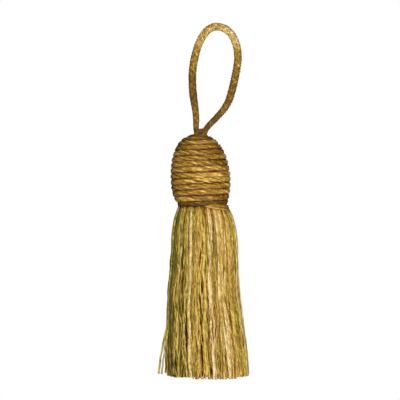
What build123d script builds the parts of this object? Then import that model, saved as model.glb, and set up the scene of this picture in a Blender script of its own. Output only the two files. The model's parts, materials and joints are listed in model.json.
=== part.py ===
"""Decorative hanging tassel: a cord loop, a cord-wound bullet head on a turned wooden mould, and a long
thread skirt.  Millimetres, +Z up, +X to the right, +Y to the back.  The origin is the hanging point, on
the inside of the loop's top.  The loop lies in the XZ plane."""

import os
from math import cos, pi, radians, sin, tan

from build123d import *

# ---- driving dimensions ----
CORD_R = 1.6  # the braided cord of the loop
CORD_END_R = 1.5  # the same cord, pulled tight through the head
WINDING_R = 1.4  # the softer cord wound round the head
GAP = 0.3  # clearance between bodies that move on each other
FIT = 0.05  # clearance between pieces that sit against each other

AXIS_X = -7.6  # the tassel's own axis, left of the hanging point
PIVOT_Z = -50.0  # where the cord flexes, just above the head
NECK_BALL_R = 2.3

# the loop's route, corner by corner, from the left leg's foot round the top to the right leg's foot
LOOP_ROUTE = [
    (-10.0, -47.4),
    (-10.5, -41.5),
    (-12.3, -31.0),
    (-12.3, -18.0),
    (-9.6, -5.2),
    (-6.0, -0.1),
    (0.0, 1.85),
    (6.0, -0.1),
    (9.6, -5.2),
    (10.6, -15.0),
    (7.7, -30.0),
    (5.0, -38.0),
    (0.2, -43.6),
    (-4.3, -48.1),
]

# the head: radius and height of the winding's centre line, from the top turn to the bottom turn
WINDING_LINE = [
    (4.9, -54.1),
    (7.7, -56.1),
    (10.5, -59.9),
    (12.6, -65.4),
    (13.6, -73.5),
    (13.2, -81.0),
    (11.1, -87.4),
]
WINDING_TURNS = 12.45
WINDING_END = 175.0  # degrees: where the winding's lower end lies, at the left
ARCS_PER_TURN = 4

MOULD_TOP_Z = -56.2
MOULD_TOP_R = 4.6
MOULD_BOTTOM_Z = -87.8
BORE_R = 3.3
SPIGOT_R = 6.6
SPIGOT_BOTTOM_Z = -94.0
KNOT_R = 4.4
KNOT_TOP_Z = -85.0
KNOT_BOTTOM_Z = -92.0
KNOT_EDGE_R = 2.0
CORD_END_OFFSET = 1.6  # each cord end's axis, from the bore's axis
CORD_END_BOTTOM_Z = -95.5

HEADING_R = 8.0
HEADING_TOP_Z = MOULD_BOTTOM_Z - 1.3
TIE_R = 0.5  # the binding thread round the heading
TIE_TURNS = 5
TIE_PITCH = 1.05

# the skirt
HANKS = 16
INNER_HANKS = 8
HINGE_R = 11.0
HINGE_Z = -91.4
HANK_TOP_R = 2.2  # the rounded top of each outer hank, about its hinge line
SIDE_TAPER = 2.0  # how far the apex of a hank's wedge lies out from the axis
SKIRT_BOTTOM_Z = -173.5
SKIRT_OUTSIDE = [(14.9, -95.5), (16.3, -104.0), (17.2, -121.0), (19.2, -143.0), (20.6, -160.0)]
SKIRT_BOTTOM_R = 20.6
LAYER_TOP = (9.0, -95.0)  # the face between the outer and the inner hanks: top and bottom
LAYER_BOTTOM = (14.0, SKIRT_BOTTOM_Z)
CORE_R = 4.8
INNER_TOP_Z = -96.0


def upright(angle=0.0):
    """The upright plane through the tassel's axis, with local X pointing outwards at this angle."""
    turn = radians(angle)
    return Plane(
        origin=(AXIS_X, 0, 0),
        x_dir=(cos(turn), sin(turn), 0),
        z_dir=(sin(turn), -cos(turn), 0),
    )


def save(piece, name):
    piece.part.label = name
    export_step(piece.part, f"parts/{name}.step")


def tangent_radii(route):
    """One radius per corner: as large an arc as the two runs allow."""
    radii = []
    for before, corner, after in zip(route, route[1:], route[2:]):
        run_in = Vector(*corner) - Vector(*before)
        run_out = Vector(*after) - Vector(*corner)
        half_turn = radians(run_in.get_angle(run_out)) / 2
        radii.append(0.45 * min(run_in.length, run_out.length) / tan(half_turn))
    return radii


def winding_point(line, share, inset=0.0):
    """Radius and height on the winding's centre line, or on the surface that lies inset inside it."""
    point = line @ share
    along = line % share
    return point.X + along.Y * inset, point.Y - along.X * inset


os.makedirs("parts", exist_ok=True)

# ---- the hanging loop: one cord, from foot to foot ----
loop_radii = tangent_radii(LOOP_ROUTE)
print("hanging_loop bend radii:", [round(radius, 1) for radius in loop_radii])

with BuildPart() as hanging_loop:
    with BuildLine(Plane.XZ) as loop_line:
        FilletPolyline(*LOOP_ROUTE, radius=loop_radii)
    with BuildSketch(Plane(origin=loop_line.line @ 0, z_dir=loop_line.line % 0)):
        Circle(CORD_R)
    sweep()
loop_length = sum(edge.length for edge in loop_line.line.edges())
print("hanging_loop length:", round(loop_length, 1))
print("hanging_loop volume / expected:", hanging_loop.part.volume / (loop_length * pi * CORD_R**2))
save(hanging_loop, "hanging_loop")

# ---- the neck: a thread whipping that closes the loop above the head, where the cord flexes ----
with BuildPart() as neck_whipping:
    with Locations((AXIS_X, 0, PIVOT_Z)):
        Sphere(NECK_BALL_R)
save(neck_whipping, "neck_whipping")

# ---- the loop's two ends, through the bore to the stop knot ----
cord_end_top = PIVOT_Z - NECK_BALL_R - GAP
for side, name in ((-1, "cord_end_left"), (1, "cord_end_right")):
    with BuildPart() as cord_end:
        with BuildSketch(Plane.XY.offset(CORD_END_BOTTOM_Z)):
            with Locations((AXIS_X + side * CORD_END_OFFSET, 0)):
                Circle(CORD_END_R)
        extrude(amount=cord_end_top - CORD_END_BOTTOM_Z)
    save(cord_end, name)

with BuildPart() as stop_knot:
    with BuildSketch(Plane.XY.offset(KNOT_BOTTOM_Z)):
        with Locations((AXIS_X, 0)):
            Circle(KNOT_R)
    extrude(amount=KNOT_TOP_Z - KNOT_BOTTOM_Z)
    fillet(stop_knot.edges(), radius=KNOT_EDGE_R)
    with BuildSketch(Plane.XY.offset(KNOT_BOTTOM_Z)):
        with Locations((AXIS_X - CORD_END_OFFSET, 0), (AXIS_X + CORD_END_OFFSET, 0)):
            Circle(CORD_END_R + FIT)
    extrude(amount=KNOT_TOP_Z - KNOT_BOTTOM_Z, mode=Mode.SUBTRACT)
save(stop_knot, "stop_knot")

# ---- the turned wooden mould: bullet outside, bore through it, a pocket for the knot, a spigot below ----
with BuildLine(Plane.XY) as winding_line:
    Spline(*WINDING_LINE)
line = winding_line.line
mould_side = [winding_point(line, step / 10, inset=WINDING_R + FIT) for step in range(1, 11)]

with BuildPart() as head_mould:
    with BuildSketch(upright()):
        with BuildLine():
            Polyline((BORE_R, MOULD_TOP_Z), (MOULD_TOP_R, MOULD_TOP_Z), mould_side[0])
            Spline(*mould_side)
            Polyline(
                mould_side[-1],
                (SPIGOT_R + 1.0, MOULD_BOTTOM_Z),
                (SPIGOT_R, MOULD_BOTTOM_Z - 1.0),
                (SPIGOT_R, SPIGOT_BOTTOM_Z),
                (KNOT_R + GAP, SPIGOT_BOTTOM_Z),
                (KNOT_R + GAP, KNOT_TOP_Z + GAP),
                (BORE_R, KNOT_TOP_Z + GAP),
                (BORE_R, MOULD_TOP_Z),
            )
        make_face()
    revolve(axis=Axis((AXIS_X, 0, 0), (0, 0, 1)))
save(head_mould, "head_mould")


# ---- the winding: one cord laid round the mould, turn against turn ----
def winding_at(share):
    radius, height = winding_point(line, share)
    angle = radians(WINDING_END) + 2 * pi * WINDING_TURNS * (1 - share)
    return AXIS_X + radius * cos(angle), radius * sin(angle), height


with BuildPart() as head_winding:
    with BuildLine() as winding_path:
        arcs = round(WINDING_TURNS * ARCS_PER_TURN)
        for arc in range(arcs):
            ThreePointArc(
                winding_at(arc / arcs),
                winding_at((arc + 0.5) / arcs),
                winding_at((arc + 1) / arcs),
            )
    with BuildSketch(Plane(origin=winding_path.line @ 0, z_dir=winding_path.line % 0)):
        Circle(WINDING_R)
    sweep()
winding_length = sum(edge.length for edge in winding_path.line.edges())
print("head_winding length:", round(winding_length, 1))
print("head_winding volume / expected:", head_winding.part.volume / (winding_length * pi * WINDING_R**2))
save(head_winding, "head_winding")

# ---- the skirt's heading, wound round the spigot, and the thread that binds it ----
tie_zs = [HEADING_TOP_Z - 0.3 - TIE_PITCH / 2 - turn * TIE_PITCH for turn in range(TIE_TURNS - 1)]

with BuildPart() as skirt_heading:
    with BuildSketch(upright()):
        with BuildLine():
            Polyline(
                (SPIGOT_R + FIT, HEADING_TOP_Z),
                (HEADING_R - TIE_R, HEADING_TOP_Z),
                (HEADING_R - TIE_R, SPIGOT_BOTTOM_Z),
                (SPIGOT_R + FIT, SPIGOT_BOTTOM_Z),
                close=True,
            )
        make_face()
    revolve(axis=Axis((AXIS_X, 0, 0), (0, 0, 1)))
    with BuildSketch(upright()):
        with Locations(*[(HEADING_R - TIE_R, z) for z in tie_zs]):
            Circle(TIE_R + FIT)
    revolve(axis=Axis((AXIS_X, 0, 0), (0, 0, 1)), mode=Mode.SUBTRACT)
save(skirt_heading, "skirt_heading")

with BuildPart() as heading_tie:
    with BuildSketch(upright()):
        with Locations(*[(HEADING_R - TIE_R, z) for z in tie_zs]):
            Circle(TIE_R)
    revolve(axis=Axis((AXIS_X, 0, 0), (0, 0, 1)))
save(heading_tie, "heading_tie")


# ---- the skirt's threads, in hanks ----
def wedge(hanks, angle, apex):
    """A wedge-shaped plan outline, out from near the axis at this angle, as wide as its share allows."""
    turn = radians(angle)
    reach = 30.0
    half = (reach - apex) * tan(pi / hanks)
    corners = [(apex, 0.0), (reach, half), (reach, -half)]
    points = [
        (AXIS_X + out * cos(turn) - across * sin(turn), out * sin(turn) + across * cos(turn))
        for out, across in corners
    ]
    Polygon(*points, align=None)


# the outer hanks: each swings out about a line across its own top
for number in range(HANKS):
    angle = 360 * (number + 0.5) / HANKS
    with BuildPart() as hank:
        with BuildSketch(upright(angle)):
            with BuildLine():
                crown = CenterArc((HINGE_R, HINGE_Z), HANK_TOP_R, 0, 180)
                Spline(crown @ 0, *SKIRT_OUTSIDE, (SKIRT_BOTTOM_R, SKIRT_BOTTOM_Z))
                Polyline(
                    (SKIRT_BOTTOM_R, SKIRT_BOTTOM_Z),
                    LAYER_BOTTOM,
                    LAYER_TOP,
                    crown @ 1,
                )
            make_face()
        extrude(amount=SKIRT_BOTTOM_R * tan(pi / HANKS), both=True)
        with BuildSketch(Plane.XY.offset(SKIRT_BOTTOM_Z)):
            wedge(HANKS, angle, SIDE_TAPER)
        extrude(amount=HINGE_Z + HANK_TOP_R - SKIRT_BOTTOM_Z, mode=Mode.INTERSECT)
    save(hank, f"skirt_hank_{number + 1:02d}")

# the inner hanks: packed round the core, under the heading
inner_top_r = LAYER_TOP[0] - GAP - 0.2
inner_bottom_r = LAYER_BOTTOM[0] - GAP - 0.2
for number in range(INNER_HANKS):
    angle = 360 * (number + 0.5) / INNER_HANKS
    with BuildPart() as hank:
        with BuildSketch(upright()):
            with BuildLine():
                Polyline(
                    (CORE_R + FIT, INNER_TOP_Z),
                    (inner_top_r, INNER_TOP_Z),
                    (inner_bottom_r, SKIRT_BOTTOM_Z),
                    (CORE_R + FIT, SKIRT_BOTTOM_Z),
                    close=True,
                )
            make_face()
        revolve(axis=Axis((AXIS_X, 0, 0), (0, 0, 1)))
        with BuildSketch(Plane.XY.offset(SKIRT_BOTTOM_Z)):
            wedge(INNER_HANKS, angle, FIT)
        extrude(amount=INNER_TOP_Z - SKIRT_BOTTOM_Z, mode=Mode.INTERSECT)
    save(hank, f"inner_hank_{number + 1}")

with BuildPart() as skirt_core:
    with BuildSketch(Plane.XY.offset(SKIRT_BOTTOM_Z)):
        with Locations((AXIS_X, 0)):
            Circle(CORE_R)
    extrude(amount=INNER_TOP_Z - SKIRT_BOTTOM_Z)
save(skirt_core, "skirt_core")
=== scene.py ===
"""A hanging tassel: braided cord loop, cord-wound head and a full skirt of loose threads, made round the
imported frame.  Lengths are in millimetres until a mesh is built, which is in metres."""

import json
import math
from collections import namedtuple
from functools import partial

import bpy
import numpy as np
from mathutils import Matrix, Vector


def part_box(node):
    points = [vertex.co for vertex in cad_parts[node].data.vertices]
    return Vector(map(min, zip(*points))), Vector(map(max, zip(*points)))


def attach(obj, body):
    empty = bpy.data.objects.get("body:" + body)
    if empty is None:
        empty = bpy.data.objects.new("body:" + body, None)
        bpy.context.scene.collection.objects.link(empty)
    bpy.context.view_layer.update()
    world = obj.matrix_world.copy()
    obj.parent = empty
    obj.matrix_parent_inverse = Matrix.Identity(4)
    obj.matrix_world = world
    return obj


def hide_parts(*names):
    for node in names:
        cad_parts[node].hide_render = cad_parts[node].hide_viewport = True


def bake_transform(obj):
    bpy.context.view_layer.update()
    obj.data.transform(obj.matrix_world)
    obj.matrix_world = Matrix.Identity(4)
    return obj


MM = 0.001
BACK = np.array([0.0, 1.0, 0.0])
UP = np.array([0.0, 0.0, 1.0])

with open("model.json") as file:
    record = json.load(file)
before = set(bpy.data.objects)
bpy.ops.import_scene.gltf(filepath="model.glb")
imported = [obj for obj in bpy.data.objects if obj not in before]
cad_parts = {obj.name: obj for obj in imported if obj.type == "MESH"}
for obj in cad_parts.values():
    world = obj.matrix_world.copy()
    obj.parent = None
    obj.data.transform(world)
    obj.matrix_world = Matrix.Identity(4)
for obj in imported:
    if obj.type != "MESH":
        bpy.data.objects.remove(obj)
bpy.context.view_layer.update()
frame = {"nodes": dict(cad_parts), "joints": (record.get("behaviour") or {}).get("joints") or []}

# ---- places that come from the frame ----
joints = {joint["name"]: joint for joint in frame["joints"]}
AXIS_X, _, PIVOT_Z = (value / MM for value in joints["neck_swing_side"]["pos_m"])
HANKS = sum(name.startswith("hank_") for name in joints)
INNER_HANKS = sum(name.startswith("inner_hank_") for name in frame["nodes"])


def node_range(node, axis):
    """The lowest and highest place of a CAD node along an axis, in mm."""
    low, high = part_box(node)
    return low[axis] / MM, high[axis] / MM


SKIRT_BOTTOM, HANK_TOP = node_range("skirt_hank_01", 2)
KNOT_BOTTOM, KNOT_TOP = node_range("stop_knot", 2)
END_BOTTOM, _ = node_range("cord_end_left", 2)
END_R = (node_range("cord_end_left", 1)[1] - node_range("cord_end_left", 1)[0]) / 2
HEADING_BOTTOM, HEADING_TOP = node_range("skirt_heading", 2)
HEADING_OUT = node_range("heading_tie", 0)[1] - AXIS_X
CORD_R = (node_range("hanging_loop", 1)[1] - node_range("hanging_loop", 1)[0]) / 2

# the loop's route, near part.py's, and where the cord runs on into the neck at both its feet
NECK_LEFT = [(-9.5, -53.2), (-10.6, -50.4)]
LOOP_ROUTE = [
    (-10.4, -47.4),
    (-10.5, -41.5),
    (-12.3, -31.0),
    (-12.3, -18.0),
    (-9.0, -6.0),
    (-4.6, 0.3),
    (0.0, 1.85),
    (5.6, -0.1),
    (9.4, -5.6),
    (11.0, -14.5),
    (7.8, -30.0),
    (5.2, -37.8),
    (0.4, -43.5),
    (-4.3, -48.1),
]
NECK_RIGHT = [(-5.9, -50.2), (-6.5, -53.0)]

# radius and height of the winding's centre line, as part.py has it
WINDING_LINE = [
    (4.9, -54.1),
    (7.7, -56.1),
    (10.5, -59.9),
    (12.6, -65.4),
    (13.6, -73.5),
    (13.2, -81.0),
    (11.1, -87.4),
]
WINDING_TURNS = 12.45
WINDING_END = 175.0  # the angle of its lower end round the axis, in degrees

# the skirt's outside: radius and height
SKIRT_OUTSIDE = [
    (10.8, -86.0),
    (11.9, -88.4),
    (13.4, -91.2),
    (14.9, -95.5),
    (16.2, -104.0),
    (17.0, -121.0),
    (18.7, -143.0),
    (20.2, -160.0),
    (20.3, -173.5),
]


# ---- mesh building ----
def unit(v):
    return v / np.linalg.norm(v, axis=1, keepdims=True)


def smooth_line(points, count, fineness=40):
    """Points at even steps along a smooth curve through the given ones."""
    points = np.array(points, float)
    ends = np.vstack([2 * points[0] - points[1], points, 2 * points[-1] - points[-2]])
    share = np.linspace(0, 1, fineness, endpoint=False)[:, None]
    fine = []
    for before, start, end, after in zip(ends, ends[1:], ends[2:], ends[3:]):
        fine.append(
            start
            + 0.5 * share * (end - before)
            + share**2 * (before - 2.5 * start + 2 * end - 0.5 * after)
            + share**3 * (1.5 * (start - end) + 0.5 * (after - before))
        )
    fine = np.vstack(fine + [points[-1:]])
    along = np.concatenate([[0], np.cumsum(np.linalg.norm(np.diff(fine, axis=0), axis=1))])
    steps = np.linspace(0, along[-1], count)
    return np.column_stack([np.interp(steps, along, column) for column in fine.T])


def lengths(line):
    """How far along the line each of its points lies."""
    return np.concatenate([[0], np.cumsum(np.linalg.norm(np.diff(line, axis=0), axis=1))])


def even(line, step):
    """The same line with points at even steps."""
    along = lengths(line)
    steps = np.linspace(0, along[-1], max(3, round(along[-1] / step)))
    return np.column_stack([np.interp(steps, along, column) for column in line.T])


def table_at(table, places):
    """Values read from a table of places and values, evenly between its rows."""
    return np.interp(places, *zip(*table))


def frames(line, reference):
    """Tangent, normal towards the reference direction, and the third direction, at each point."""
    tangent = unit(np.gradient(line, axis=0))
    reference = np.broadcast_to(reference, line.shape)
    normal = unit(reference - np.sum(reference * tangent, axis=1, keepdims=True) * tangent)
    return tangent, normal, np.cross(tangent, normal)


def wander(rng, length, count, wavelength, spread=0.7):
    """A smooth random curve of about unit size, sampled at count points over the length."""
    knots = max(4, int(length / wavelength) + 3)
    values = rng.normal(0, spread, knots)
    return smooth_line(np.column_stack([np.arange(knots), values]), count)[:, 1]


class Yarns:
    """Gathers round strands into one mesh, with each point's own place on its strand."""

    def __init__(self):
        self.points, self.quads, self.caps = [], [], []
        self.yarn, self.shade, self.deep = [], [], []
        self.count = 0

    def strand(
        self, line, radius, reference, sides=8, twist=4.0, shade=0.5, flat=1.0, offset=0.0, deep=None
    ):
        """One closed round strand along a line.  radius and shade may change along it; flat is its
        thickness along the reference direction, as a share of its width; twist is the length of one turn
        of its fibres, and offset moves them along it; deep says how far down between its neighbours each
        of its points lies, from 0 to 1, which is how much painted shade darkens it there."""
        rings = len(line)
        _, normal, across = frames(line, reference)
        radius = np.broadcast_to(radius, rings)[:, None]
        angle = np.linspace(0, 2 * math.pi, sides, endpoint=False)[None, :]
        out = radius * np.cos(angle) * flat
        aside = radius * np.sin(angle)
        ring = line[:, None] + out[..., None] * normal[:, None] + aside[..., None] * across[:, None]
        along = lengths(line)[:, None]
        turned = angle + 2 * math.pi * along / twist
        place = [radius * np.cos(turned), radius * np.sin(turned), along + 0 * angle + offset]
        index = self.count + np.arange(rings * sides).reshape(rings, sides)
        side = np.roll(index, -1, axis=1)
        quads = [index[:-1], side[:-1], side[1:], index[1:]]
        self.quads.append(np.stack(quads, axis=-1).reshape(-1, 4))
        self.caps += [index[0][::-1], index[-1]]
        self.points.append(ring.reshape(-1, 3))
        self.yarn.append(np.stack(place, axis=-1).reshape(-1, 3))
        self.shade.append(np.repeat(np.broadcast_to(shade, rings), sides))
        depth = np.zeros((rings, sides)) if deep is None else deep(ring)
        self.deep.append(np.clip(depth, 0, 1).ravel())
        self.count += rings * sides

    def build(self, name, material):
        """The finished object, in metres, with smooth sides."""
        quads = np.concatenate(self.quads)
        caps = np.concatenate(self.caps)
        sizes = np.concatenate([np.full(len(quads), 4), [len(cap) for cap in self.caps]])
        mesh = bpy.data.meshes.new(name)
        mesh.vertices.add(self.count)
        mesh.vertices.foreach_set("co", (np.concatenate(self.points) * MM).ravel())
        mesh.loops.add(quads.size + caps.size)
        mesh.loops.foreach_set("vertex_index", np.concatenate([quads.ravel(), caps]))
        mesh.polygons.add(len(sizes))
        mesh.polygons.foreach_set("loop_start", np.concatenate([[0], np.cumsum(sizes)[:-1]]))
        mesh.polygons.foreach_set("use_smooth", np.ones(len(sizes), bool))
        place = mesh.attributes.new("yarn", "FLOAT_VECTOR", "POINT")
        place.data.foreach_set("vector", np.concatenate(self.yarn).ravel())
        for measure, values in (("shade", self.shade), ("deep", self.deep)):
            attribute = mesh.attributes.new(measure, "FLOAT", "POINT")
            attribute.data.foreach_set("value", np.concatenate(values))
        mesh.update(calc_edges=True)
        mesh.validate()
        piece = bpy.data.objects.new(name, mesh)
        bpy.context.scene.collection.objects.link(piece)
        mesh.materials.append(material)
        return piece


def plied(yarns, rng, line, reference, cord_r, plies=3, lay=8.0, sides=8):
    """A twisted cord: plies that wind round a line, each with its own yarns' twist."""
    along = lengths(line)
    _, normal, across = frames(line, reference)
    ply_r = cord_r * 0.53
    ply_twist = -2.6
    uneven = 0.08
    start = rng.uniform(0, 2 * math.pi)
    for ply in range(plies):
        turn = 2 * math.pi * along / lay + start + 2 * math.pi * ply / plies
        reach = (cord_r - ply_r) * (1 + uneven * wander(rng, along[-1], len(line), 9.0))
        centre = line + (reach * np.cos(turn))[:, None] * normal + (reach * np.sin(turn))[:, None] * across
        radius = ply_r * (1 + uneven * wander(rng, along[-1], len(line), 3.0))
        shade = rng.uniform()
        offset = rng.uniform(0, 500)
        yarns.strand(centre, radius, reference, sides, ply_twist, shade, offset=offset)


def braided(yarns, rng, line, reference, cord_r, shade, carriers=6, lay=8.4, sides=6):
    """A round braid: as many yarns wind each way round a line, over and under each other, on a core."""
    along = lengths(line)
    _, normal, across = frames(line, reference)
    turn = 2 * math.pi * along / lay
    flat = 0.62
    yarn_r = 0.34 * cord_r
    yarn_twist = 2.2
    rise = 0.08 * cord_r
    middle = cord_r - rise - flat * yarn_r
    core_r = 0.62 * cord_r

    def painted_shade(ring):
        """How far each point lies below the braid's outside, which sets its painted shade between the
        yarns.
        """
        height = np.linalg.norm(ring - line[:, None], axis=2) / np.broadcast_to(cord_r, len(line))[:, None]
        return (0.97 - height) / 0.34

    for way in (1, -1):
        for carrier in range(carriers):
            angle = way * turn + 2 * math.pi * carrier / carriers
            outward = np.cos(angle)[:, None] * normal + np.sin(angle)[:, None] * across
            loose = 0.025 * cord_r * wander(rng, along[-1], len(line), 4.0)
            centre = line + (middle + way * rise * np.cos(carriers * turn) + loose)[:, None] * outward
            thick = yarn_r * (1 + 0.1 * wander(rng, along[-1], len(line), 2.5))
            tone = np.clip(shade + rng.normal(0, 0.08), 0, 1)
            offset = rng.uniform(0, 500)
            yarns.strand(centre, thick, outward, sides, way * yarn_twist, tone, flat, offset, painted_shade)
    # the core: painted wholly in shade, as it shows only between the yarns
    yarns.strand(line, core_r, reference, 8, shade=0.1, deep=lambda ring: np.ones(ring.shape[:2]))


def squarish(share, half_depth, half_width, roundness=0.46):
    """The place on a rounded rectangle's edge that is this share of the way round it.  A roundness of 1
    is an ellipse, and 0 a rectangle."""
    turn = np.linspace(0, 2 * math.pi, 361)
    edge = np.column_stack([np.cos(turn), np.sin(turn)])
    edge = np.sign(edge) * np.abs(edge) ** roundness * [half_depth, half_width]
    along = lengths(edge)
    place = (share % 1.0) * along[-1]
    return np.interp(place, along, edge[:, 0]), np.interp(place, along, edge[:, 1])


def eased(values, window):
    """A running mean, which rounds off sudden turns."""
    ends = window // 2
    padded = np.concatenate([np.full(ends, values[0]), values, np.full(ends, values[-1])])
    return np.convolve(padded, np.full(window, 1 / window), "valid")


# a yarn in a ply: how far out it lies, how thick and how pale it is against the cord, and how much more
# painted shade it gets
PlyYarn = namedtuple("PlyYarn", "reach thickness paler deeper")
PROUD_YARN = PlyYarn(1.0, 1.1, 0.04, 0.0)
SIDE_YARN = PlyYarn(0.97, 1.0, -0.02, 0.07)
PLY = (SIDE_YARN, PROUD_YARN, SIDE_YARN)


def pressed_cord(yarns, rng, line, outward, half_pitch, half_depth, tone, size, foot, plies=4, lay=25.0):
    """A soft cord pressed flat against its neighbouring turns, half_pitch away on both sides.  Its plies
    are three slack yarns each, the middle one standing proud.  tone and size are the cord's shade and its
    thickness, against its usual one, at each point of the line.  It gets painted shade in the grooves
    between its turns and below the height of the foot, where it meets the skirt."""
    along = lengths(line)
    total, count = along[-1], len(line)
    _, normal, across = frames(line, outward)
    swell = size * (1 + 0.02 * wander(rng, total, count, 11.0))
    half_width = half_pitch + 0.25
    yarn_r = 0.5
    yarn_twist = 9.0
    smoothing = 5
    varied = 0.18 * wander(rng, total, count, 14.0)

    def painted_shade(ring, deeper):
        """Painted shade at each point: how far it lies in the groove beside its turn, below the turn's face
        or at the foot.
        """
        offset = ring - line[:, None]
        aside = np.abs(np.sum(offset * across[:, None], axis=2)) / half_pitch
        out = np.sum(offset * normal[:, None], axis=2) / half_depth
        between = np.maximum(np.clip((aside - 0.62) / 0.3, 0, 1) ** 1.5, (0.3 - out) / 0.4) + deeper
        return np.maximum(between, (foot - ring[..., 2]) / 0.7)

    for number, yarn in enumerate(PLY * plies):
        share = number / (len(PLY) * plies) + along / lay + 0.03 * wander(rng, total, count, 8.0)
        out, aside = squarish(share, half_depth - yarn_r, half_width - 0.8 * yarn_r)
        out = eased(out, smoothing) + 0.03 * wander(rng, total, count, 4.0)
        aside = eased(aside, smoothing)
        rise = swell * yarn.reach
        centre = line + (out * rise)[:, None] * normal + (aside * rise)[:, None] * across
        thick = yarn_r * yarn.thickness * np.sqrt(size)
        thick = thick * (1 + 0.09 * wander(rng, total, count, 4.0))
        streaks = 0.12 * wander(rng, total, count, 3.2)
        shade = np.clip(tone + varied + streaks + rng.normal(yarn.paler, 0.05), 0, 1)
        deep = partial(painted_shade, deeper=yarn.deeper)
        yarns.strand(centre, thick, outward, 5, yarn_twist, shade, offset=rng.uniform(0, 900), deep=deep)


# ---- materials ----
def material(name, build):
    """A new material, whose Principled shader the build function fills in."""
    made = bpy.data.materials.new(name)
    made.use_nodes = True
    nodes = made.node_tree.nodes
    nodes.clear()
    output = nodes.new("ShaderNodeOutputMaterial")
    shader = nodes.new("ShaderNodeBsdfPrincipled")
    made.node_tree.links.new(shader.outputs[0], output.inputs[0])
    build(made.node_tree, shader)
    return made


def node(tree, kind, settings=None, **inputs):
    """A new node; an input's value may be a socket to link from."""
    made = tree.nodes.new(kind)
    for key, value in (settings or {}).items():
        setattr(made, key, value)
    for key, value in inputs.items():
        socket = made.inputs[key.replace("_", " ")]
        if isinstance(value, bpy.types.NodeSocket):
            tree.links.new(value, socket)
        else:
            socket.default_value = value
    return made


def ramp(tree, factor, stops):
    """A colour picked from the stops by the factor's socket."""
    made = tree.nodes.new("ShaderNodeValToRGB")
    while len(made.color_ramp.elements) < len(stops):
        made.color_ramp.elements.new(0.5)
    for element, (place, colour) in zip(made.color_ramp.elements, stops):
        element.position = place
        element.color = (*colour, 1)
    tree.links.new(factor, made.inputs[0])
    return made.outputs["Color"]


def mix(tree, factor, first, second, blend="MIX"):
    """Two colours mixed, where each value may be a socket."""
    made = tree.nodes.new("ShaderNodeMix")
    made.data_type = "RGBA"
    made.blend_type = blend
    for socket, value in ((made.inputs[0], factor), (made.inputs[6], first), (made.inputs[7], second)):
        if isinstance(value, bpy.types.NodeSocket):
            tree.links.new(value, socket)
        else:
            socket.default_value = value
    return made.outputs[2]


def yarn_noise(tree, scale, detail=2.0, shift=(0, 0, 0)):
    """Noise in a strand's own space: across it, across it, and along it."""
    place = node(tree, "ShaderNodeAttribute", {"attribute_name": "yarn"}).outputs["Vector"]
    moved = node(tree, "ShaderNodeMapping", Vector=place, Scale=scale, Location=shift)
    made = node(
        tree, "ShaderNodeTexNoise", Vector=moved.outputs[0], Scale=1.0, Detail=detail, Roughness=0.6
    )
    return made.outputs["Fac"]


def linear(red, green, blue):
    """A colour from its usual 0 to 255 values."""
    return tuple((value / 255) ** 2.2 for value in (red, green, blue))


def scaled(tree, value, factor, added):
    """value * factor + added, where added may be a socket."""
    made = tree.nodes.new("ShaderNodeMath")
    made.operation = "MULTIPLY_ADD"
    tree.links.new(value, made.inputs[0])
    made.inputs[1].default_value = factor
    if isinstance(added, bpy.types.NodeSocket):
        tree.links.new(added, made.inputs[2])
    else:
        made.inputs[2].default_value = added
    return made.outputs[0]


# yarn space is stretched by these across the strand, across it again and along it
FIBRE_SCALE = (4.0, 4.0, 0.45)
CRIMP_SCALE = (0.9, 0.9, 0.42)
CRIMP_SHIFT = (31, 7, 3)
WHITE = (1.0, 1.0, 1.0)


def yarn_material(name, stops, painted_shade_colour, mottle, mottle_scale, roughness=0.6, bump=0.5, crimped=0.62):
    """Spun yarn.  A strand's shade picks its colour from the stops and mottle shifts it along the strand;
    fibres run along it, painted shade in the crimp's folds darkens it across down to crimped, and painted
    shade darkens it towards the shade colour down between strands, as far as its deep attribute says."""

    def build(tree, shader):
        shade = node(tree, "ShaderNodeAttribute", {"attribute_name": "shade"}).outputs["Fac"]
        deep = node(tree, "ShaderNodeAttribute", {"attribute_name": "deep"}).outputs["Fac"]
        drift = yarn_noise(tree, mottle_scale, detail=3.0)
        picked = scaled(tree, drift, mottle, scaled(tree, shade, 1.0, -0.5 * mottle))
        colour = ramp(tree, picked, stops)
        fibres = yarn_noise(tree, FIBRE_SCALE)
        crimp = yarn_noise(tree, CRIMP_SCALE, detail=1.0, shift=CRIMP_SHIFT)
        streaks = ramp(tree, fibres, [(0.34, (0.56, 0.5, 0.4)), (0.62, WHITE)])
        # painted shade: the crimp's folds are darkened down to crimped, along with its bump
        crimp_shade_colours = (crimped, 0.93 * crimped, 0.78 * crimped)
        painted_crimp_shade = ramp(tree, crimp, [(0.36, crimp_shade_colours), (0.6, WHITE)])
        varied = mix(tree, 1.0, mix(tree, 1.0, colour, streaks, "MULTIPLY"), painted_crimp_shade, "MULTIPLY")
        # painted shade: the colour is darkened towards the shade colour down between strands, as far as the
        # deep attribute says
        painted_shade = mix(tree, 1.0, varied, (*painted_shade_colour, 1), "MULTIPLY")
        tree.links.new(mix(tree, deep, varied, painted_shade), shader.inputs["Base Color"])
        if bump:
            relief = scaled(tree, crimp, 1.4, fibres)
            bumped = node(tree, "ShaderNodeBump", Strength=bump, Distance=0.00025, Height=relief)
            tree.links.new(bumped.outputs[0], shader.inputs["Normal"])
        shader.inputs["Roughness"].default_value = roughness
        shader.inputs["Specular IOR Level"].default_value = 0.2

    return material(name, build)


SKIRT_COLOURS = [
    (0.00, linear(92, 84, 22)),
    (0.10, linear(122, 108, 30)),
    (0.20, linear(186, 172, 80)),
    (0.30, linear(144, 120, 36)),
    (0.38, linear(154, 110, 38)),
    (0.48, linear(176, 142, 54)),
    (0.58, linear(198, 172, 78)),
    (0.68, linear(196, 156, 80)),
    (0.80, linear(209, 180, 126)),
    (0.92, linear(202, 186, 124)),
    (1.00, linear(216, 192, 150)),
]
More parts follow.
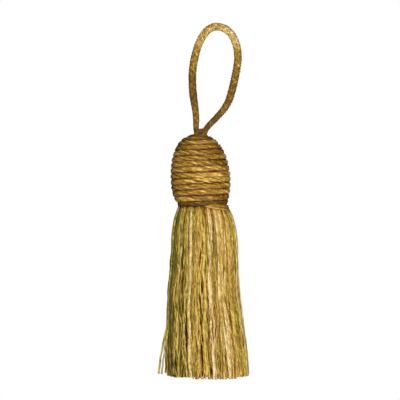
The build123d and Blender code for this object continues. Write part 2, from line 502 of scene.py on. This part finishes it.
# painted shade colour of the skirt's threads, down between and under them
SKIRT_PAINTED_SHADE = (0.52, 0.42, 0.22)
skirt_thread = yarn_material(
    "skirt_thread", SKIRT_COLOURS, SKIRT_PAINTED_SHADE, mottle=0.6, mottle_scale=(0.5, 0.5, 0.1), roughness=0.5
)

# painted shade: the inner threads' colours are a dimmer ramp than the skirt's, for the shade inside the
# skirt
INNER_PAINTED_SHADE_COLOURS = [
    (0.0, linear(96, 78, 24)),
    (0.4, linear(138, 108, 42)),
    (0.8, linear(172, 138, 64)),
    (1.0, linear(198, 166, 94)),
]
inner_thread = yarn_material(
    "inner_thread", INNER_PAINTED_SHADE_COLOURS, SKIRT_PAINTED_SHADE, mottle=0.4, mottle_scale=(0.5, 0.5, 0.07), bump=0
)

WINDING_COLOURS = [
    (0.00, linear(90, 64, 14)),
    (0.30, linear(130, 95, 30)),
    (0.55, linear(170, 132, 54)),
    (0.80, linear(206, 168, 86)),
    (1.00, linear(236, 204, 132)),
]
# painted shade colour in the winding's grooves and at its foot
WINDING_PAINTED_SHADE = (0.20, 0.12, 0.03)
winding_yarn = yarn_material(
    "winding_yarn", WINDING_COLOURS, WINDING_PAINTED_SHADE, mottle=1.5, mottle_scale=(0.5, 0.5, 0.34), crimped=0.78
)

LOOP_COLOURS = [
    (0.00, linear(84, 58, 10)),
    (0.30, linear(122, 92, 24)),
    (0.55, linear(162, 128, 46)),
    (0.80, linear(202, 172, 102)),
    (1.00, linear(232, 212, 162)),
]
# painted shade colour between the braid's yarns, also used for the bindings
LOOP_PAINTED_SHADE = (0.34, 0.25, 0.10)
loop_yarn = yarn_material("loop_yarn", LOOP_COLOURS, LOOP_PAINTED_SHADE, mottle=1.0, mottle_scale=(0.7, 0.7, 0.3))

BINDING_COLOURS = [
    (0.0, linear(56, 38, 12)),
    (0.6, linear(88, 60, 20)),
    (1.0, linear(124, 86, 34)),
]
binding_yarn = yarn_material(
    "binding_yarn", BINDING_COLOURS, LOOP_PAINTED_SHADE, mottle=1.0, mottle_scale=(0.8, 0.8, 0.4)
)


def turned_wood(tree, shader):
    """Pale wood with its grain running up the mould."""
    place = node(tree, "ShaderNodeTexCoord").outputs["Object"]
    stretched = node(tree, "ShaderNodeMapping", Vector=place, Scale=(900, 900, 60))
    grain = node(tree, "ShaderNodeTexNoise", Vector=stretched.outputs[0], Scale=1.0, Detail=5.0)
    stops = [(0.3, linear(150, 112, 66)), (0.55, linear(188, 150, 98)), (0.8, linear(208, 174, 122))]
    tree.links.new(ramp(tree, grain.outputs["Fac"], stops), shader.inputs["Base Color"])
    bumped = node(tree, "ShaderNodeBump", Strength=0.2, Distance=0.0002, Height=grain.outputs["Fac"])
    tree.links.new(bumped.outputs[0], shader.inputs["Normal"])
    shader.inputs["Roughness"].default_value = 0.7


mould_wood = material("mould_wood", turned_wood)


# ---- camera, lights, floor: all in metres ----
VIEW_CENTRE = (-8.5 * MM, -85.25 * MM)
VIEW_DISTANCE = 1.2
VIEW_WIDTH = 0.2
LAMPS_AIM_Z = -0.09
# each lamp's place, size and power
LAMPS = {
    "key": ((0.11, -1.08, 0.06), 0.2, 18.0),
    "back": ((0.05, 1.1, 0.1), 0.3, 12.0),
}
WORLD_LIGHT = 0.05  # how much the white all round lights the tassel
FLOOR_R = 1.3
FLOOR_Z = -0.3
FLOOR_SIDES = 96
FLOOR_GLOW = 0.86  # lifts the floor to the white around it, where the camera sees it


def camera_ray(tree):
    """A socket that is 1 where the camera itself sees the surface, and 0 where it only lights others."""
    return tree.nodes.new("ShaderNodeLightPath").outputs["Is Camera Ray"]


def place_camera(scene):
    """A straight-on view from far off."""
    camera = bpy.data.objects.new("camera", bpy.data.cameras.new("camera"))
    camera.location = (VIEW_CENTRE[0], -VIEW_DISTANCE, VIEW_CENTRE[1])
    camera.rotation_euler = (math.pi / 2, 0, 0)
    camera.data.lens = camera.data.sensor_width * VIEW_DISTANCE / VIEW_WIDTH
    scene.collection.objects.link(camera)
    scene.camera = camera


def light_scene(scene):
    """A lamp in front, a little to the right, and one behind; the white all round adds a little."""
    world = bpy.data.worlds.new("white")
    world.use_nodes = True
    tree = world.node_tree
    background = tree.nodes["Background"]
    level = node(tree, "ShaderNodeMapRange", Value=camera_ray(tree), To_Min=WORLD_LIGHT, To_Max=1.0)
    tree.links.new(level.outputs[0], background.inputs["Strength"])
    background.inputs["Color"].default_value = (1, 1, 1, 1)
    scene.world = world

    target = Vector((AXIS_X * MM, 0, LAMPS_AIM_Z))
    for name, (place, size, power) in LAMPS.items():
        lamp = bpy.data.objects.new(name, bpy.data.lights.new(name, "AREA"))
        lamp.data.size = size
        lamp.data.energy = power
        lamp.location = place
        lamp.rotation_euler = (target - lamp.location).to_track_quat("-Z", "Y").to_euler()
        scene.collection.objects.link(lamp)


def pale_floor(tree, shader):
    shader.inputs["Base Color"].default_value = (0.9, 0.9, 0.89, 1)
    shader.inputs["Roughness"].default_value = 0.8
    shader.inputs["Emission Color"].default_value = (1, 1, 1, 1)
    glow = node(tree, "ShaderNodeMapRange", Value=camera_ray(tree), To_Max=FLOOR_GLOW)
    tree.links.new(glow.outputs[0], shader.inputs["Emission Strength"])


def lay_floor(scene):
    """A round pale floor, well below the hanging tassel."""
    turns = [2 * math.pi * step / FLOOR_SIDES for step in range(FLOOR_SIDES)]
    rim = [(FLOOR_R * math.cos(turn), FLOOR_R * math.sin(turn), FLOOR_Z) for turn in turns]
    mesh = bpy.data.meshes.new("floor")
    mesh.from_pydata(rim, [], [range(FLOOR_SIDES)])
    mesh.materials.append(material("pale_floor", pale_floor))
    floor = bpy.data.objects.new("floor", mesh)
    scene.collection.objects.link(floor)


scene = bpy.context.scene
scene.view_settings.view_transform = "Standard"
place_camera(scene)
light_scene(scene)
lay_floor(scene)


# ---- the outline that the head and the skirt share ----
# height, and how far the head and skirt lean to the side of their axis there
LEAN = [
    (-173.5, 3.2),
    (-160, 2.5),
    (-150, 1.9),
    (-140, 1.3),
    (-130, 1.0),
    (-110, 1.5),
    (-97, 1.2),
    (-91, 0.9),
    (-87, 0.3),
    (-83, -0.3),
    (-72, -0.7),
    (-62, -1.3),
    (-56, -1.7),
    (-51, -1.3),
]


def lean(z):
    """How far the head and skirt lean to the side of their axis at a height."""
    return table_at(LEAN, z)


outside = smooth_line(SKIRT_OUTSIDE, 300)
SKIRT_SIDE = [(-z, radius) for radius, z in outside]


def skirt_radius(z):
    """The radius of the skirt's outside at a height."""
    return table_at(SKIRT_SIDE, -z)


def around_axis(radius, angle, z):
    """Points at these distances, angles and heights round the leaning axis."""
    return np.column_stack([AXIS_X + lean(z) + radius * np.cos(angle), radius * np.sin(angle), z])


def outward_at(line):
    """The direction away from the leaning axis at each point of a line."""
    out = line - np.array([AXIS_X, 0, 0])
    out[:, 0] -= lean(line[:, 2])
    out[:, 2] = 0
    return unit(out)


# angle round the head in degrees, and how low the head comes there: lower where its cord's end lies
HEAD_FOOT = [
    (-180, -88.8),
    (-95, -88.8),
    (-55, -90.0),
    (-20, -90.9),
    (15, -91.5),
    (35, -88.8),
    (180, -88.8),
]
PAINTED_SHADE_DEPTH = 2.7  # how deep in the skirt its threads get the fullest painted shade
HEAD_SHADOW = 1.4  # how far below the head's foot its shade reaches


def skirt_painted_shade(ring):
    """Painted shade at each point: how deep it lies in the skirt, or the painted shadow under the head's
    foot, as a share of what looks darkest.
    """
    z = ring[..., 2]
    x, y = ring[..., 0] - AXIS_X - lean(z), ring[..., 1]
    reach = np.hypot(x, y)
    foot = table_at(HEAD_FOOT, np.degrees(np.arctan2(y, x)))
    head_painted_shadow = np.clip((z - foot) / HEAD_SHADOW + 1, 0, 1)
    return np.maximum((skirt_radius(z) - 0.15 - reach) / PAINTED_SHADE_DEPTH, 0.95 * head_painted_shadow)


# ---- the loop ----
LOOP_HEIGHT = 52  # from the pivot to the loop's top
PULLED_HEIGHT = 17  # how far above the pivot the cord is pulled thin


def loop_line():
    """Points at even steps along the loop's route."""
    route = NECK_LEFT + LOOP_ROUTE + NECK_RIGHT
    curve = bpy.data.curves.new("loop_route", "CURVE")
    curve.dimensions = "3D"
    curve.resolution_u = 64
    spline = curve.splines.new("NURBS")
    spline.points.add(len(route) - 1)
    for point, (x, z) in zip(spline.points, route):
        point.co = (x * MM, 0, z * MM, 1)
    spline.order_u = 3
    spline.use_endpoint_u = True
    line_object = bpy.data.objects.new("loop_route", curve)
    bpy.context.scene.collection.objects.link(line_object)
    sampled = bpy.data.meshes.new_from_object(line_object)
    line = even(np.array([vertex.co[:] for vertex in sampled.vertices]) / MM, 0.18)
    bpy.data.objects.remove(line_object)
    bpy.data.meshes.remove(sampled)
    return line


def make_loop():
    """The braid along the loop's route, which runs into the neck at the pivot that the tassel swings on."""
    rng = np.random.default_rng(11)
    line = loop_line()
    yarns = Yarns()
    above = line[:, 2] - PIVOT_Z
    slack = np.clip(above / PULLED_HEIGHT, 0, 1)
    painted_highlight_share = np.clip(above / LOOP_HEIGHT, 0, 1)  # the cord's tone falls towards the neck and is palest at the loop's top, where it carries a painted highlight
    tone = 0.14 + 0.35 * painted_highlight_share + 0.4 * painted_highlight_share**4 + 0.16 * wander(rng, lengths(line)[-1], len(line), 7.0)
    braided(yarns, rng, line, BACK, CORD_R * (0.93 + 0.36 * slack), tone)
    loop = yarns.build("loop_cord", loop_yarn)
    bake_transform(loop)
    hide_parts("hanging_loop")


make_loop()


# ---- the neck: a thread wound round both legs where they go into the head ----
NECK_TURNS = 5
NECK_THREAD_R = 0.36
NECK_HALF_WIDTH = 2.9
NECK_HALF_DEPTH = 1.4
NECK_HALF_HEIGHT = 1.1
NECK_MIDDLE = (AXIS_X - 0.2, PIVOT_Z - 0.7)
FILLING_R = 1.05
FILLING_HEIGHTS = (PIVOT_Z + 0.4, PIVOT_Z - 2.0)
FILLING_STEP = 0.8


def make_neck():
    """The whipping thread, and what fills the space between the legs."""
    rng = np.random.default_rng(12)
    middle_x, middle_z = NECK_MIDDLE
    angle = np.linspace(0, 2 * math.pi * NECK_TURNS, 60 * NECK_TURNS)
    share = np.linspace(-1, 1, len(angle))
    bulge = np.sqrt(1 - 0.5 * share**2)
    line = np.column_stack(
        [
            middle_x + NECK_HALF_WIDTH * bulge * np.cos(angle),
            NECK_HALF_DEPTH * bulge * np.sin(angle),
            middle_z - NECK_HALF_HEIGHT * share + 0.1 * np.cos(angle),
        ]
    )
    line += 0.08 * np.column_stack([wander(rng, 90, len(angle), 3.0) for _ in range(3)])
    yarns = Yarns()
    plied(yarns, rng, even(line, 0.2), UP, NECK_THREAD_R, plies=2, lay=1.9, sides=6)
    # the filling between the legs, which the thread pulls together
    heights = np.linspace(*FILLING_HEIGHTS, 12)
    for number in range(-2, 3):
        aside = np.full_like(heights, AXIS_X + FILLING_STEP * number)
        post = np.column_stack([aside, np.zeros_like(heights), heights])
        yarns.strand(post, FILLING_R, BACK, shade=0.1)
    neck = yarns.build("neck_binding", binding_yarn)
    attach(neck, "neck")
    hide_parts("neck_whipping")


make_neck()


# ---- the cord's two ends and their knot, inside the head ----
ENDS_TOP = PIVOT_Z - 1.2
PINCH_BOTTOM = PIVOT_Z - 7.0  # down to here the neck and the winding's first turns pinch the ends
PINCH_EASE = 3.0  # over this height they spread to their full size


def make_cord_ends(rng):
    """Both ends, pinched thin at the neck."""
    for name in ("cord_end_left", "cord_end_right"):
        low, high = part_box(name)
        aside = (low[0] + high[0]) / 2 / MM - AXIS_X
        heights = np.arange(ENDS_TOP, END_BOTTOM, -0.25)
        loose = np.clip((PINCH_BOTTOM - heights) / PINCH_EASE, 0, 1)
        line = np.column_stack([AXIS_X + aside * (0.3 + 0.7 * loose), np.zeros_like(heights), heights])
        yarns = Yarns()
        braided(yarns, rng, line, BACK, END_R * (0.38 + 0.62 * loose), 0.1, sides=5)
        end = yarns.build(name + "_yarns", loop_yarn)
        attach(end, "cord_ends")
        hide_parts(name)


def make_knot(rng):
    """The overhand knot at the ends: a trefoil, three times up and down in two turns."""
    turn = np.linspace(0, 2 * math.pi, 160)
    middle = (KNOT_TOP + KNOT_BOTTOM) / 2
    half = (KNOT_TOP - KNOT_BOTTOM) / 2
    reach = 1.1 * (2 + np.cos(3 * turn)) - 0.6
    line = np.column_stack(
        [
            AXIS_X + reach * np.cos(2 * turn),
            reach * np.sin(2 * turn),
            middle + (half - END_R) * np.sin(3 * turn),
        ]
    )
    yarns = Yarns()
    plied(yarns, rng, even(line[:-1], 0.4), UP, END_R)
    knot = yarns.build("knot_yarns", loop_yarn)
    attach(knot, "cord_ends")
    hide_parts("stop_knot")


cord_rng = np.random.default_rng(13)
make_cord_ends(cord_rng)
make_knot(cord_rng)


# ---- the head: the mould, and the cord wound round it ----
for slot in frame["nodes"]["head_mould"].material_slots:
    slot.material = mould_wood


# the first turns close the head's top, under the neck's thread
TOP_START = (1.9, -52.1)
TOP_TURNS = 1.72
# by turns from the top: how deep the cord is sunk into the head, and its thickness against its usual one
TOP_SINK = [(0, 0.5), (1.5, 0.2), (2.8, 0.0)]
TOP_SIZE = [(0, 0.5), (0.8, 0.84), (2.3, 1.0)]
# share of the cord's way down the head, and its shade there, which falls towards the head's top and its
# foot
WINDING_TONE = [
    (0, 0.1),
    (0.1, 0.2),
    (0.25, 0.32),
    (0.36, 0.48),
    (0.5, 0.57),
    (0.72, 0.52),
    (0.86, 0.38),
    (0.95, 0.26),
    (1, 0.0),
]
WINDING_LENGTH = 920.0  # about, for the spacing of its unevenness
WINDING_HALF_DEPTH = 1.38
WINDING_FOOT = -87.5
WINDING_POINTS = 1600


def make_winding():
    """The cord's line: a helix down the head's outline, its turns a little uneven in spacing and height."""
    rng = np.random.default_rng(21)
    profile = smooth_line([TOP_START] + WINDING_LINE, 400)
    along = lengths(profile)
    slope = unit(np.gradient(profile, axis=0))
    turns = WINDING_TURNS + TOP_TURNS
    share = np.linspace(0, 1, WINDING_POINTS)
    angle = math.radians(WINDING_END) + 2 * math.pi * turns * (1 - share)
    travel = share * along[-1]
    uneven = partial(wander, rng, WINDING_LENGTH, WINDING_POINTS)
    slide = 0.2 * uneven(11.0) + 0.14 * uneven(4.5)
    slide = slide * np.sin(math.pi * share) ** 0.3
    lift = 0.03 * uneven(9.0)
    place = np.clip(travel + slide, 0, along[-1])
    out_r = np.interp(travel, along, -slope[:, 1])
    out_z = np.interp(travel, along, slope[:, 0])
    radius = np.interp(place, along, profile[:, 0]) + lift * out_r
    height = np.interp(place, along, profile[:, 1]) + lift * out_z
    line = np.column_stack([AXIS_X + radius * np.cos(angle), radius * np.sin(angle), height])
    outward = np.column_stack([out_r * np.cos(angle), out_r * np.sin(angle), out_z])
    line[:, 0] += lean(line[:, 2])
    line -= table_at(TOP_SINK, share * turns)[:, None] * outward
    half_pitch = along[-1] / turns / 2
    tone = table_at(WINDING_TONE, share)
    size = table_at(TOP_SIZE, share * turns)
    yarns = Yarns()
    pressed_cord(yarns, rng, line, outward, half_pitch, WINDING_HALF_DEPTH, tone, size, WINDING_FOOT)
    tail_strands(yarns, rng)
    winding = yarns.build("head_cord", winding_yarn)
    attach(winding, "head")
    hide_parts("head_winding")


# the end of the winding comes out from under its last turn and lies over the top of the skirt:
# angle in degrees, distance from the axis, and height
TAIL = [
    (-104, 9.8, -86.2),
    (-84, 10.8, -87.5),
    (-68, 12.0, -88.3),
    (-52, 12.5, -88.5),
    (-36, 12.6, -88.8),
    (-20, 12.6, -89.2),
    (-4, 12.3, -89.6),
    (14, 12.0, -90.2),
]
TAIL_SHADES = (0.2, 0.5, 0.25, 0.6)


def tail_strands(yarns, rng):
    """The winding's loose end: its four plies side by side, which part towards their tip."""
    for strand, shade in enumerate(TAIL_SHADES):
        points = []
        for place, (turn, radius, z) in enumerate(TAIL):
            apart = 0.35 + 0.65 * place / (len(TAIL) - 1)
            turn = math.radians(turn)
            radius += 0.24 * strand
            points.append(
                (
                    AXIS_X + lean(z) + radius * math.cos(turn),
                    radius * math.sin(turn),
                    z - (strand - 1.5) * apart + rng.normal(0, 0.08),
                )
            )
        line = smooth_line(points, 80)
        radius = rng.uniform(0.4, 0.5)
        yarns.strand(line, radius, outward_at(line), twist=9.0, shade=shade, flat=0.85)


make_winding()


# ---- the heading under the head, and its binding ----
HEADING_THREADS = 56
HEADING_THREAD_R = 0.42
TIE_TURNS = 5
TIE_POINTS = 360
# the threads' tops, bent over from the heading to the head's foot
ROOTS = 104
ROOT_HEIGHTS = (-86.0, -91.5)
ROOT_DEPTHS = (0.5, 1.7)
HEADING_POINTS = 14


def make_heading(rng):
    """The gathered threads, and their roots under the head's foot."""
    yarns = Yarns()
    reach = HEADING_OUT - 0.75
    heights = np.linspace(HEADING_TOP, HEADING_BOTTOM, HEADING_POINTS)
    for number in range(HEADING_THREADS):
        angle = 2 * math.pi * number / HEADING_THREADS
        out = np.array([math.cos(angle), math.sin(angle), 0])
        line = np.array([AXIS_X, 0, 0]) + reach * out[None] + np.outer(heights, UP)
        yarns.strand(line, HEADING_THREAD_R, out, shade=rng.uniform())
    z = np.linspace(*ROOT_HEIGHTS, HEADING_POINTS)
    depth = np.linspace(*ROOT_DEPTHS, HEADING_POINTS)
    for number in range(ROOTS):
        angle = 2 * math.pi * (number + rng.uniform(-0.3, 0.3)) / ROOTS
        radius = skirt_radius(z) - depth + rng.uniform(-0.3, 0.1)
        line = around_axis(radius, angle, z)
        thick = rng.uniform(0.35, 0.6)
        shade = rng.uniform()
        # painted shade in the skirt and under the head's foot
        yarns.strand(line, thick, outward_at(line), 6, shade=shade, deep=skirt_painted_shade)
    heading = yarns.build("heading_threads", skirt_thread)
    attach(heading, "head")
    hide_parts("skirt_heading")


def make_tie(rng):
    """The thread wound round the heading."""
    angle = np.linspace(0, 2 * math.pi * TIE_TURNS, TIE_POINTS)
    heights = np.linspace(HEADING_TOP - 0.6, HEADING_BOTTOM + 1.2, TIE_POINTS)
    reach = HEADING_OUT - 0.55
    line = np.column_stack([AXIS_X + reach * np.cos(angle), reach * np.sin(angle), heights])
    outward = np.column_stack([np.cos(angle), np.sin(angle), 0 * angle])
    yarns = Yarns()
    plied(yarns, rng, line, outward, HEADING_THREAD_R, plies=2, lay=2.4, sides=6)
    tie = yarns.build("heading_binding", binding_yarn)
    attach(tie, "head")
    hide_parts("heading_tie")


heading_rng = np.random.default_rng(31)
make_heading(heading_rng)
make_tie(heading_rng)


# ---- the skirt ----
# kinds of thread: share of all, radius from and to, flatness, shade from and to, waviness
Kind = namedtuple("Kind", "share thin thick flat dark pale wave")
KINDS = [
    Kind(0.20, 0.52, 0.80, 0.60, 0.62, 1.00, 1.1),
    Kind(0.42, 0.36, 0.56, 0.80, 0.28, 0.72, 1.5),
    Kind(0.38, 0.25, 0.38, 0.95, 0.12, 0.60, 2.1),
]
# depth under the outside, threads to a hank, and the painted shade that dims the deeper layers
LAYERS = [(0.4, 8, 0.0), (1.4, 8, 0.14), (2.5, 7, 0.25)]
# threads that stand off the skirt near its foot or wander over it: their kind, and by hank their angle
# in degrees, sideways drift, how far they splay, and shade
STRAY_KIND = Kind(0.0, 0.6, 0.75, 0.8, 0.2, 0.2, 1.5)
STRAYS = {
    3: [(50, 1.0, 1.6, 0.2)],
    8: [(166, 1.0, 1.4, 0.2)],
    9: [(-173, -0.4, 4.4, 0.2), (-167, 0.3, 3.2, 0.2)],
    10: [(-152, 5.0, 0.3, 0.45), (-142, -5.5, 0.4, 0.0)],
    12: [(-99, 4.5, 0.2, 0.6)],
    15: [(-40, 5.5, 0.3, 0.1), (-27, -5.5, 0.5, 0.5)],
}
# where the threads are darkest, at the front left, and painted shade that dims the lamp's light on them, at
# the front right: the middle and half the width of each stretch, and how far the shade falls there
SHADOW_SIDE = math.radians(-148)
SHADOW_WIDTH = 0.36
SHADOW_SHADE = 0.12
PAINTED_SHADE_SIDE = math.radians(-22)
PAINTED_SHADE_WIDTH = 0.4
PAINTED_SHADE_FALL = 0.13
BRIGHT_SHARE = 0.22  # so many of the outer threads keep their shade there
DRIFT = 0.7  # how far the threads drift sideways, and the share of them that drift further
STRAY_DRIFT = 3.0
STRAY_SHARE = 0.25
STRAY_LIFT = 0.35  # those lie this much further out
HANK_OVERLAP = 1.08  # a hank's width against its share of the way round
GATHERED = 0.24  # how much narrower a hank is at its top
GATHERED_HEIGHT = 7.0
THREAD_STEP = 0.75


def thread_line(rng, middle, aside, depth, top, bottom, drift, wave, splay=0.0):
    """A thread's line: from under the head down the skirt, this deep under its outside.  It runs at
    an angle aside from its hank's middle, nearer it at the top where the hank is gathered, strays
    sideways by drift and outwards by splay, and has waves that grow towards its free end."""
    length = top - bottom
    count = round(length / THREAD_STEP)
    waves = partial(wander, rng, length, count)
    z = np.linspace(top, bottom, count)
    share = (top - z) / length
    free = np.clip(share * 4, 0, 1) * (0.5 + 0.5 * share) * wave
    near_foot = np.clip(share / 0.3 - 2.33, 0, 1)
    outwards = 0.2 * waves(10.0) + 0.08 * waves(3.0)
    sideways = 0.6 * waves(13.0) + 0.24 * waves(4.2)
    radius = skirt_radius(z) - depth + splay * near_foot**1.1 + free * outwards
    swerve = np.sin(math.pi * share * rng.uniform(0.8, 1.6))
    strayed = free * sideways + drift * (0.6 * share + 0.4 * swerve)
    spread = 1 - GATHERED * np.exp(-(((top - z) / GATHERED_HEIGHT) ** 2))
    return around_axis(radius, middle + aside * spread + strayed / np.maximum(radius, 4.0), z)


def skirt_thread_strand(yarns, rng, line, kind, shade, sides=8):
    """One soft, flat thread, uneven in thickness, that thins out at its cut end."""
    uneven = partial(wander, rng, lengths(line)[-1], len(line))
    thick = rng.uniform(kind.thin, kind.thick)
    thick = thick * (1 + 0.14 * uneven(7.0) + 0.06 * uneven(2.2))
    thick[-1] *= 0.85
    twist = rng.choice([-1, 1]) * rng.uniform(5.0, 9.0)
    offset = rng.uniform(0, 900)
    # painted shade in the skirt and under the head's foot
    yarns.strand(line, thick, outward_at(line), sides, twist, shade, kind.flat, offset, skirt_painted_shade)


def any_kind(rng):
    """A kind of thread drawn by the shares in the table."""
    return KINDS[rng.choice(len(KINDS), p=[kind.share for kind in KINDS])]


def nearness(angle, middle, width):
    """1 at the middle angle, falling away over the width."""
    return math.exp(-((math.remainder(angle - middle, 2 * math.pi) / width) ** 2))


def thread_shade(rng, kind, angle, layer_painted_shade):
    """Where the thread's colour lies from olive (0) to pale straw (1), lowered by painted shade in the
    deeper layers and at the front right, and at the shadow side for most threads.
    """
    shadow = nearness(angle, SHADOW_SIDE, SHADOW_WIDTH)
    side_painted_shade = nearness(angle, PAINTED_SHADE_SIDE, PAINTED_SHADE_WIDTH)
    shade = rng.uniform(kind.dark, kind.pale) - layer_painted_shade - PAINTED_SHADE_FALL * side_painted_shade
    if rng.uniform() < BRIGHT_SHARE and not layer_painted_shade:
        return shade
    return shade - (0.9 * shade + SHADOW_SHADE) * shadow


def make_hank(number):
    """One hank's threads, layer by layer from the outside in, and then its strays."""
    rng = np.random.default_rng(100 + number)
    middle = 2 * math.pi * (number + 0.5) / HANKS
    width = 2 * math.pi / HANKS
    cut = SKIRT_BOTTOM + rng.uniform(-0.3, 0.7)
    tint = rng.normal(0, 0.05)
    yarns = Yarns()
    for depth, threads, layer_painted_shade in LAYERS:
        for thread in range(threads):
            kind = any_kind(rng)
            aside = HANK_OVERLAP * width * ((thread + 0.5) / threads - 0.5) + rng.normal(0, 0.012)
            stray = rng.uniform() < STRAY_SHARE
            drift = rng.normal(0, STRAY_DRIFT if stray else DRIFT)
            deep = depth + rng.uniform(-0.3, 0.3) - (STRAY_LIFT if stray else 0)
            top = HANK_TOP + 0.9 - 0.8 * depth
            bottom = cut + rng.exponential(0.35)
            line = thread_line(rng, middle, aside, deep, top, bottom, drift, kind.wave)
            shade = thread_shade(rng, kind, middle + aside, layer_painted_shade) + tint
            skirt_thread_strand(yarns, rng, line, kind, shade)
    top = HANK_TOP + 0.8
    bottom = SKIRT_BOTTOM + 1.5
    for angle, drift, splay, shade in STRAYS.get(number + 1, []):
        aside = math.remainder(math.radians(angle) - middle, 2 * math.pi)
        line = thread_line(rng, middle, aside, 0.1, top, bottom, drift, STRAY_KIND.wave, splay)
        skirt_thread_strand(yarns, rng, line, STRAY_KIND, shade)
    hank = yarns.build(f"hank_{number + 1:02d}_threads", skirt_thread)
    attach(hank, f"hank_{number + 1:02d}")
    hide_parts(f"skirt_hank_{number + 1:02d}")


for number in range(HANKS):
    make_hank(number)


# ---- the threads inside the skirt ----
# rings of threads: distance from the axis at the skirt's foot, and how many
INNER_RINGS = [(12.6, 7), (9.6, 5), (6.8, 4)]  # in each inner hank
CORE_RINGS = [(4.0, 10), (1.9, 5), (0.1, 1)]
INNER_POINTS = 60
INNER_LENGTH = 78  # about, for the spacing of the waves


def make_inner(name, node_name, places, seed):
    """Threads inside the skirt, at these angles and distances from the axis at the skirt's foot."""
    rng = np.random.default_rng(seed)
    yarns = Yarns()
    waves = partial(wander, rng, INNER_LENGTH, INNER_POINTS)
    top = END_BOTTOM - 0.4
    for angle, reach in places:
        bottom = SKIRT_BOTTOM + 0.6 + rng.normal(0, 0.4)
        z = np.linspace(top, bottom, INNER_POINTS)
        share = (top - z) / (top - bottom)
        radius = reach * (0.62 + 0.38 * share) + 0.2 * waves(12.0)
        turned = angle + 0.4 * share * waves(14.0) / max(reach, 3)
        line = around_axis(radius, turned, z)
        skirt_thread_strand(yarns, rng, line, KINDS[0], rng.uniform(), sides=7)
    threads = yarns.build(name, inner_thread)
    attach(threads, "head")
    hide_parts(node_name)


for number in range(INNER_HANKS):
    middle = 2 * math.pi * (number + 0.5) / INNER_HANKS
    width = 2 * math.pi / INNER_HANKS
    places = [
        (middle + width * ((thread + 0.5) / threads - 0.5), reach)
        for reach, threads in INNER_RINGS
        for thread in range(threads)
    ]
    make_inner(f"inner_threads_{number + 1}", f"inner_hank_{number + 1}", places, 200 + number)

core_places = [
    (2 * math.pi * thread / threads, reach)
    for reach, threads in CORE_RINGS
    for thread in range(threads)
]
make_inner("core_threads", "skirt_core", core_places, 300)
